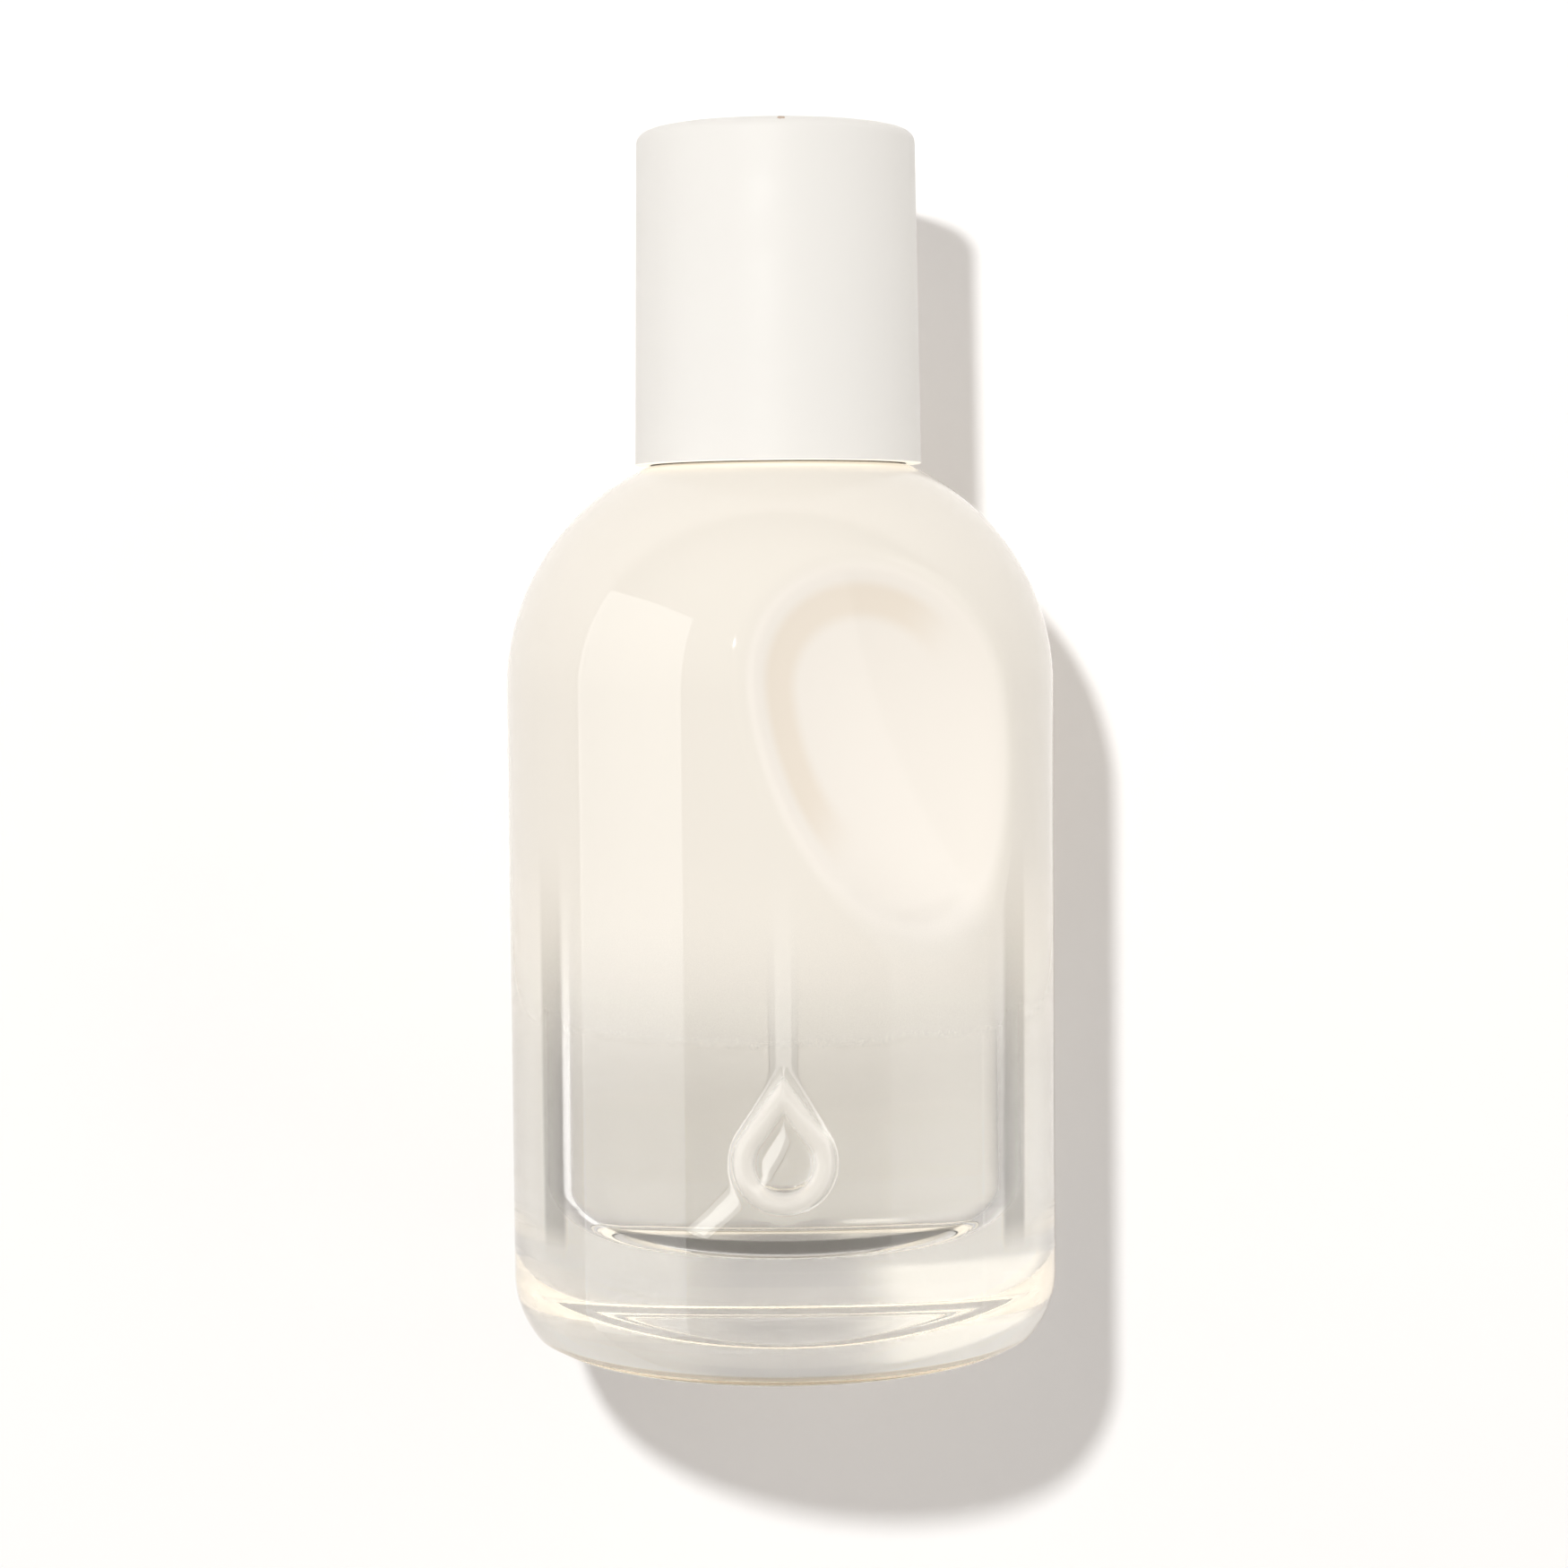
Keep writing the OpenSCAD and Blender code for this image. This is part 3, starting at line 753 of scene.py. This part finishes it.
def bottle_rows():
    """Half section of the glass, from the middle of its foot round to the middle of its floor."""
    push_r = (FOOT_IN_R**2 + (PUSH_UP - PUSH_UP_EDGE) ** 2) / (2 * (PUSH_UP - PUSH_UP_EDGE))
    push_end = math.degrees(math.asin(FOOT_IN_R / push_r))
    foot = arc(0, PUSH_UP - push_r, push_r, 90, 90 - push_end, 12)[:-1]
    heel_r = BODY_R - HEEL_ARC_R
    heel_start = -math.degrees(math.asin((HEEL_Z - FOOT_STEP) / HEEL_ARC_R))
    heel = arc(heel_r, HEEL_Z, HEEL_ARC_R, heel_start, 0, 28)
    foot += rounded(
        [
            foot[-1],
            (FOOT_IN_R, PUSH_UP_EDGE, 0.25 * MM),
            (FOOT_IN_R + 0.3 * MM, 0, 0.25 * MM),
            (FOOT_OUT_R, 0, 0.35 * MM),
            (FOOT_OUT_R, FOOT_STEP, 0.15 * MM),
            (heel[0][0], FOOT_STEP, 0.05 * MM),
            heel[1],
        ],
        steps=6,
    )[1:-1]
    land_angle = math.degrees(math.acos((LAND_R - SHOULDER_C) / SHOULDER_ARC_R))
    shoulder = arc(SHOULDER_C, SHOULDER_Z, SHOULDER_ARC_R, 0, land_angle, 60)
    bead_z = NECK_Z - BEAD_H
    neck = rounded(
        [
            shoulder[-2],
            (LAND_R, LAND_Z, 0.3 * MM),
            (NECK_R, LAND_Z, 0.8 * MM),
            (NECK_R, bead_z, 0.4 * MM),
            (BEAD_R, bead_z + 0.6 * MM, 0.3 * MM),
            (BEAD_R, NECK_Z - 0.6 * MM, 0.4 * MM),
            (BEAD_R - 0.6 * MM, NECK_Z, 0.3 * MM),
            (NECK_BORE_R, NECK_Z, 0.3 * MM),
            (NECK_BORE_R, NECK_Z - 3 * MM),
        ]
    )[1:]
    outside = foot + heel[1:] + shoulder[:-1] + neck
    dome_end = math.degrees(math.acos((NECK_BORE_R - SHOULDER_C) / CAVITY_ARC_R))
    dome = arc(SHOULDER_C, CAVITY_SHOULDER_Z, CAVITY_ARC_R, dome_end, 0, 40)
    inside = rounded([(NECK_BORE_R, NECK_Z - 3 * MM), (*dome[0], 0.8 * MM), dome[2]])[:-1]
    inside += dome[2:]
    corner_z = FLOOR_Z + FLOOR_CORNER_R
    inside += arc(CAVITY_R - FLOOR_CORNER_R, corner_z, FLOOR_CORNER_R, 0, -90, 28)
    inside.append((0, FLOOR_Z))
    return outside, inside


def bottle_spacing(z):
    """Row spacing of the glass: fine at the drop and over the dent."""
    if 13 * MM < z < 34 * MM:
        return 0.33 * MM
    if 34 * MM < z < 82 * MM:
        return 0.55 * MM
    return 1.2 * MM


def bottle_columns():
    """Column angles of the glass: fine in front of the drop and over the dent."""
    angles = []
    turn = -180.0
    while turn < 180.0:
        angles.append(math.radians(turn - 90))
        if -13 < turn < 13:
            turn += 0.6
        elif -15 < turn < 70:
            turn += 0.9
        else:
            turn += 1.5
    return np.array(angles)


def mark_dent(piece):
    """Stores how far the dent is pressed in at each point, as a part of its full depth."""
    points = np.array([v.co[:] for v in piece.data.vertices])
    inward = -wall_distance(np.hypot(points[:, 0], points[:, 1]), points[:, 2])
    inward[(points[:, 2] < DENT_LOW_Z) | (points[:, 2] > DENT_HIGH_Z)] = 0
    depth = piece.data.attributes.new("pressed_in", "FLOAT", "POINT")
    depth.data.foreach_set("value", np.clip(inward / DENT_DEPTH, 0, 1))


def glass_bottle():
    """The moulding: lacquered outside, and inside it meets the liquid or, above that, the air."""
    outside, inside = bottle_rows()
    outside = divided(outside, bottle_spacing)
    inside = divided(inside, lambda z: 1.2 * MM)[1:]
    rows = outside + inside
    zones = [0] * len(outside) + [1 if z < LEVEL_Z else 2 for _, z in inside]
    piece = turn_rows("glass_bottle_moulding", rows, bottle_columns(), zones, moved=shaped_wall)
    mark_dent(piece)
    return dress(
        piece,
        "bottle",
        "lacquered_glass",
        "glass_bottle",
        materials=["lacquered_glass", "wet_glass", "dry_glass"],
    )


# ---------------------------------------------------------------- cap, collar, button and pump


def cap_shell():
    low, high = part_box("cap_shell")
    low_r, top_z = high.x, high.z
    top_r = CAP_TOP_R
    wall = 1.5 * MM
    roof_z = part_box("cap_insert")[1].z
    piece = lathe(
        "cap_outer_shell",
        [
            (0, top_z),
            (top_r - 3 * MM, top_z),
            (top_r, top_z, 1.1 * MM),
            (low_r, low.z, 0.08 * MM),
            (low_r - wall, low.z, 0.08 * MM),
            (top_r - wall, roof_z, 0.4 * MM),
            (0, roof_z),
        ][::-1],
        closed=False,
        columns=256,
        steps=10,
    )
    return dress(piece, "cap", "cap_plastic", "cap_shell")


def collar():
    low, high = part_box("collar")
    r, bore, mouth = high.x, 8.05 * MM, 7 * MM
    plate_z = NECK_Z + 2 * MM
    piece = lathe(
        "collar_ring",
        [
            (bore, low.z, 0.2 * MM),
            (r, low.z, 0.25 * MM),
            (r, high.z, 0.4 * MM),
            (mouth, high.z, 0.2 * MM),
            (mouth, high.z - 0.6 * MM, 0.15 * MM),
            (bore, high.z - 0.6 * MM, 0.1 * MM),
            (bore, plate_z + 0.6 * MM),
            (mouth, plate_z + 0.6 * MM),
            (mouth, plate_z),
            (bore, plate_z),
        ],
        columns=200,
    )
    return dress(piece, "bottle", "collar_aluminium", "collar")


def nozzle_height():
    low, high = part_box("spray_insert")
    return (low.z + high.z) / 2


def actuator_shell():
    low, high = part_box("actuator_shell")
    r = high.x
    bore = r - 0.9 * MM
    roof_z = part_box("actuator_core")[1].z
    dish_r, dish = 16 * MM, 0.8 * MM
    rim_r = math.sqrt(2 * dish_r * dish - dish**2)
    dish_end = -90 + math.degrees(math.asin(rim_r / dish_r))
    top = arc(0, high.z - dish + dish_r, dish_r, -90, dish_end, 12)
    outline = rounded(
        [
            (0, roof_z),
            (bore, roof_z, 0.3 * MM),
            (bore, low.z, 0.15 * MM),
            (r, low.z, 0.2 * MM),
            (r, high.z, 0.8 * MM),
            (rim_r, high.z, 0.15 * MM),
            top[-3],
        ],
        steps=6,
    )[:-1]
    rows = divided(outline + top[-3::-1], lambda z: 0.8 * MM)
    piece = turn_rows("button_shell", rows, even_columns(160))
    cut_round_hole(piece, nozzle_height(), 1.9 * MM)
    return dress(piece, "actuator", "button_plastic", "actuator_shell")


def cut_round_hole(piece, height, radius):
    """Cuts the nozzle's window through the front of a piece."""
    start, end, sides = -9 * MM, -3 * MM, 48
    vertices = []
    for y in (start, end):
        for k in range(sides):
            a = 2 * math.pi * k / sides
            vertices.append((radius * math.cos(a), y, height + radius * math.sin(a)))
    faces = [tuple(range(sides)), tuple(range(2 * sides - 1, sides - 1, -1))]
    faces += [(k, k + sides, (k + 1) % sides + sides, (k + 1) % sides) for k in range(sides)]
    cutter = new_piece("window_cutter", vertices, faces)
    cut = piece.modifiers.new("window", "BOOLEAN")
    cut.operation = "DIFFERENCE"
    cut.solver = "EXACT"
    cut.object = cutter
    depsgraph = bpy.context.evaluated_depsgraph_get()
    mesh = bpy.data.meshes.new_from_object(piece.evaluated_get(depsgraph))
    piece.modifiers.clear()
    piece.data = mesh
    bpy.data.objects.remove(cutter)
    for face in mesh.polygons:
        face.use_smooth = True
    mesh.set_sharp_from_angle(angle=math.radians(35))


def crimp_ferrule():
    low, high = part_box("crimp_ferrule")
    sheet = 0.4 * MM
    r, pedestal = high.x, 4.9 * MM
    plate_z = NECK_Z + 1.6 * MM
    bend_z = NECK_Z - BEAD_H + 0.2 * MM
    lip_r = NECK_R + 0.3 * MM
    mouth = 2.65 * MM
    piece = lathe(
        "crimped_ferrule",
        [
            (lip_r, bend_z - 1.1 * MM, 0.1 * MM),
            (lip_r + 0.32 * MM, low.z, 0.1 * MM),
            (r, bend_z, 0.4 * MM),
            (r, plate_z + sheet, 0.45 * MM),
            (pedestal, plate_z + sheet, 0.3 * MM),
            (pedestal, high.z, 0.5 * MM),
            (mouth, high.z, 0.15 * MM),
            (mouth, high.z - sheet, 0.15 * MM),
            (pedestal - sheet, high.z - sheet, 0.2 * MM),
            (pedestal - sheet, plate_z, 0.1 * MM),
            (r - sheet, plate_z, 0.1 * MM),
            (r - sheet, bend_z, 0.1 * MM),
        ],
        spacing=0.8 * MM,
        columns=144,
    )
    return dress(piece, "bottle", "ferrule_aluminium", "crimp_ferrule")


def dip_tube():
    """The tube, straight down from the pump and bent at its foot."""
    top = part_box("dip_tube")[1].z
    turn = math.radians(215)
    bend = math.radians(45)
    bend_z, bend_r, foot = 25 * MM, 12 * MM, 6.8 * MM
    path = [Vector((0, 0, top - (top - bend_z) * k / 12)) for k in range(12)]
    for k in range(17):
        a = bend * k / 16
        out = bend_r * (1 - math.cos(a))
        drop = bend_r * math.sin(a)
        path.append(Vector((out * math.cos(turn), out * math.sin(turn), bend_z - drop)))
    down = Vector((math.sin(bend) * math.cos(turn), math.sin(bend) * math.sin(turn), -math.cos(bend)))
    path += [path[-1] + down * foot * k / 4 for k in range(1, 5)]
    piece = swept_tube("dip_tube_bent", path, 1.05 * MM, 0.6 * MM)
    return dress(piece, "bottle", "tube_plastic", "dip_tube")


def springs():
    """The two coil springs, built at their CAD lengths, each with a mesh of its own. In the pump they
    shorten as the button goes down.
    """
    low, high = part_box("return_spring")
    piece = coil("return_spring_coil", 2.2 * MM, 0.175 * MM, low.z, high.z, 5)
    dress(piece, "bottle", "spring_steel", "return_spring")
    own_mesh(piece)
    low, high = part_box("precompression_spring")
    piece = coil("precompression_spring_coil", 2.1 * MM, 0.15 * MM, low.z, high.z, 3)
    dress(piece, "stem", "spring_steel", "precompression_spring")
    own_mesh(piece)


def dress_cad_nodes():
    """Materials for the CAD nodes that show as they are."""
    slots = {part["node"]: part["material_slot"] for part in frame["record"]["subparts"]}
    for name, node in frame["nodes"].items():
        node.data.materials.clear()
        node.data.materials.append(MATERIALS[slots[name]])


# ---------------------------------------------------------------- stage, camera and lights

LENS = 76.1
CAMERA_AT = Vector((0.3, -334.7, 76.4)) * MM
CAMERA_DROP = math.radians(3.51)
CAMERA_ROLL = math.radians(-0.5)
TABLE_GLOW = (0.055, 0.04, 0.03)
# Colour of the painted pool of light behind the clear foot.
PAINTED_CAUSTIC_GLOW = (0.165, 0.155, 0.13)
TABLE_COLOUR = (0.95, 0.95, 0.95)
TABLE_HALF = 4.0
PAINTED_SPOT_X = 5.5 * MM
FRONT_SKY = (0.47, 0.455, 0.44)
EDGE_SKY = (0.18, 0.18, 0.18)
SKY_EDGE_Y = -0.05
SKY_FRONT_Y = -0.45
THROUGH_GLASS = 0.5
SOFTBOX_DISTANCE = 1.2
SOFTBOX_HEIGHT = 0.1
SOFTBOX_AIM = Vector((0, 0, 0.06))
KEY_AT = Vector((-0.110, -0.480, 0.249))
KEY_RADIUS = 15 * MM
KEY_LIGHT = 1.75


def camera():
    data = bpy.data.cameras.new("camera")
    data.lens = LENS
    data.sensor_width = 36
    made = bpy.data.objects.new("camera", data)
    turn = Matrix.Rotation(math.pi / 2 - CAMERA_DROP, 4, "X") @ Matrix.Rotation(CAMERA_ROLL, 4, "Z")
    made.matrix_world = Matrix.Translation(CAMERA_AT) @ turn
    bpy.context.scene.collection.objects.link(made)
    bpy.context.scene.camera = made


def painted_light_pool(look):
    """A painted pool of light on the table, where the clear glass would gather light behind the foot: a
    broad pool, with painted shade in the middle of its lower end, and one bright painted spot."""
    x, _, z = look.xyz()[:3]
    across = look.math("ABSOLUTE", x)
    wide = look.ramp(across, 14 * MM, 26 * MM, 1.0, 0.0)
    tall = look.times(look.ramp(z, 40 * MM, 60 * MM, 1.0, 0.0), look.ramp(z, -2 * MM, 6 * MM))
    shade = look.ramp(across, 1.5 * MM, 4.5 * MM, 1.0, 0.0)
    shade = look.times(shade, look.band(z, 0, 5 * MM, 2 * MM))
    pool = look.times(look.times(wide, tall), look.minus(1.0, shade))
    spot = look.ramp(look.math("ABSOLUTE", look.minus(x, PAINTED_SPOT_X)), 1 * MM, 3 * MM, 1.5, 0.0)
    spot = look.times(spot, look.band(z, 1 * MM, 4 * MM, 1 * MM))
    return look.plus(pool, spot)


def table():
    """The white table, upright behind the bottle, and not there when seen from behind."""
    half = TABLE_HALF
    y = BODY_R + 0.2 * MM
    vertices = [(-half, y, -half), (half, y, -half), (half, y, half), (-half, y, half)]
    piece = new_piece("table", vertices, [(0, 1, 2, 3)])
    look = Look("table")
    look.tree.nodes.remove(look.shader)
    diffuse = look.node("ShaderNodeBsdfDiffuse", Color=(*TABLE_COLOUR, 1))
    glow = look.node("ShaderNodeEmission", Color=(*TABLE_GLOW, 1), Strength=1.0)
    # Painted light: a pool and a bright spot of light on the table behind the foot.
    painted_caustic = look.node("ShaderNodeEmission", Color=(*PAINTED_CAUSTIC_GLOW, 1))
    look.join(painted_light_pool(look), painted_caustic.inputs["Strength"])
    lit = look.combine("ShaderNodeAddShader", diffuse, glow)
    lit = look.combine("ShaderNodeAddShader", lit, painted_caustic)
    clear = look.node("ShaderNodeBsdfTransparent")
    seen = look.combine("ShaderNodeMixShader", lit, clear)
    look.join(look.from_behind(), seen.inputs[0])
    look.join(seen.outputs[0], look.tree.nodes["Material Output"].inputs["Surface"])
    piece.data.materials.append(look.material)


def softbox(name, azimuth, width, tall, strength, diffuse=True, glossy=True):
    """A soft light standing round the bottle, which isn't seen through the glass. azimuth 0 is in
    front and 90 to the right."""
    data = bpy.data.lights.new(name, "AREA")
    data.shape = "RECTANGLE"
    data.size = width
    data.size_y = tall
    data.energy = strength * width * tall * 4
    a = math.radians(azimuth)
    made = bpy.data.objects.new(name, data)
    at = Vector((SOFTBOX_DISTANCE * math.sin(a), -SOFTBOX_DISTANCE * math.cos(a), SOFTBOX_HEIGHT))
    aim = (SOFTBOX_AIM - at).to_track_quat("-Z", "Y")
    made.matrix_world = Matrix.Translation(at) @ aim.to_matrix().to_4x4()
    made.visible_camera = False
    made.visible_transmission = False
    made.visible_glossy = glossy
    made.visible_diffuse = diffuse
    bpy.context.scene.collection.objects.link(made)


def key_light():
    """A small lamp to the upper left, which throws the shadow on the table. Its light doesn't
    weaken with distance."""
    data = bpy.data.lights.new("key", "POINT")
    data.energy = 4 * math.pi * KEY_LIGHT
    data.shadow_soft_size = KEY_RADIUS
    data.cycles.use_multiple_importance_sampling = False
    data.use_nodes = True
    tree = data.node_tree
    falloff = tree.nodes.new("ShaderNodeLightFalloff")
    falloff.inputs["Strength"].default_value = 1.0
    tree.links.new(falloff.outputs["Constant"], tree.nodes["Emission"].inputs["Strength"])
    made = bpy.data.objects.new("key", data)
    made.location = KEY_AT
    made.visible_camera = False
    bpy.context.scene.collection.objects.link(made)


def studio():
    """Pale surroundings in front, dark towards the table's horizon. They are pure white where the
    camera sees past the table, and half way to white where it does so through the glass."""
    world = bpy.data.worlds.new("studio")
    bpy.context.scene.world = world
    world.use_nodes = True
    tree = world.node_tree
    tree.nodes.clear()
    way = tree.nodes.new("ShaderNodeTexCoord")
    parts = tree.nodes.new("ShaderNodeSeparateXYZ")
    tree.links.new(way.outputs["Generated"], parts.inputs[0])
    front = tree.nodes.new("ShaderNodeMapRange")
    front.interpolation_type = "SMOOTHSTEP"
    tree.links.new(parts.outputs["Y"], front.inputs["Value"])
    front.inputs["From Min"].default_value = SKY_EDGE_Y
    front.inputs["From Max"].default_value = SKY_FRONT_Y
    mix = tree.nodes.new("ShaderNodeMix")
    mix.data_type = "RGBA"
    tree.links.new(front.outputs["Result"], mix.inputs[0])
    mix.inputs[6].default_value = (*EDGE_SKY, 1)
    mix.inputs[7].default_value = (*FRONT_SKY, 1)
    surroundings = tree.nodes.new("ShaderNodeBackground")
    tree.links.new(mix.outputs[2], surroundings.inputs["Color"])
    white = tree.nodes.new("ShaderNodeBackground")
    white.inputs["Color"].default_value = (1, 1, 1, 1)
    ray = tree.nodes.new("ShaderNodeLightPath")
    through = tree.nodes.new("ShaderNodeMath")
    through.operation = "MULTIPLY_ADD"
    through.use_clamp = True
    tree.links.new(ray.outputs["Is Transmission Ray"], through.inputs[0])
    through.inputs[1].default_value = THROUGH_GLASS
    tree.links.new(ray.outputs["Is Camera Ray"], through.inputs[2])
    pick = tree.nodes.new("ShaderNodeMixShader")
    out = tree.nodes.new("ShaderNodeOutputWorld")
    tree.links.new(through.outputs[0], pick.inputs[0])
    tree.links.new(surroundings.outputs[0], pick.inputs[1])
    tree.links.new(white.outputs[0], pick.inputs[2])
    tree.links.new(pick.outputs[0], out.inputs["Surface"])
    bpy.context.scene.view_settings.view_transform = "Standard"


camera()
table()
studio()
key_light()
softbox("left_softbox", -70, 1.35, 1.6, 1.4, diffuse=False)
softbox("right_softbox", 80, 1.75, 1.6, 0.48)
softbox("left_fill", -60, 1.2, 1.2, 0.2, glossy=False)

dress_cad_nodes()
glass_bottle()
cap_shell()
collar()
crimp_ferrule()
actuator_shell()
dip_tube()
springs()
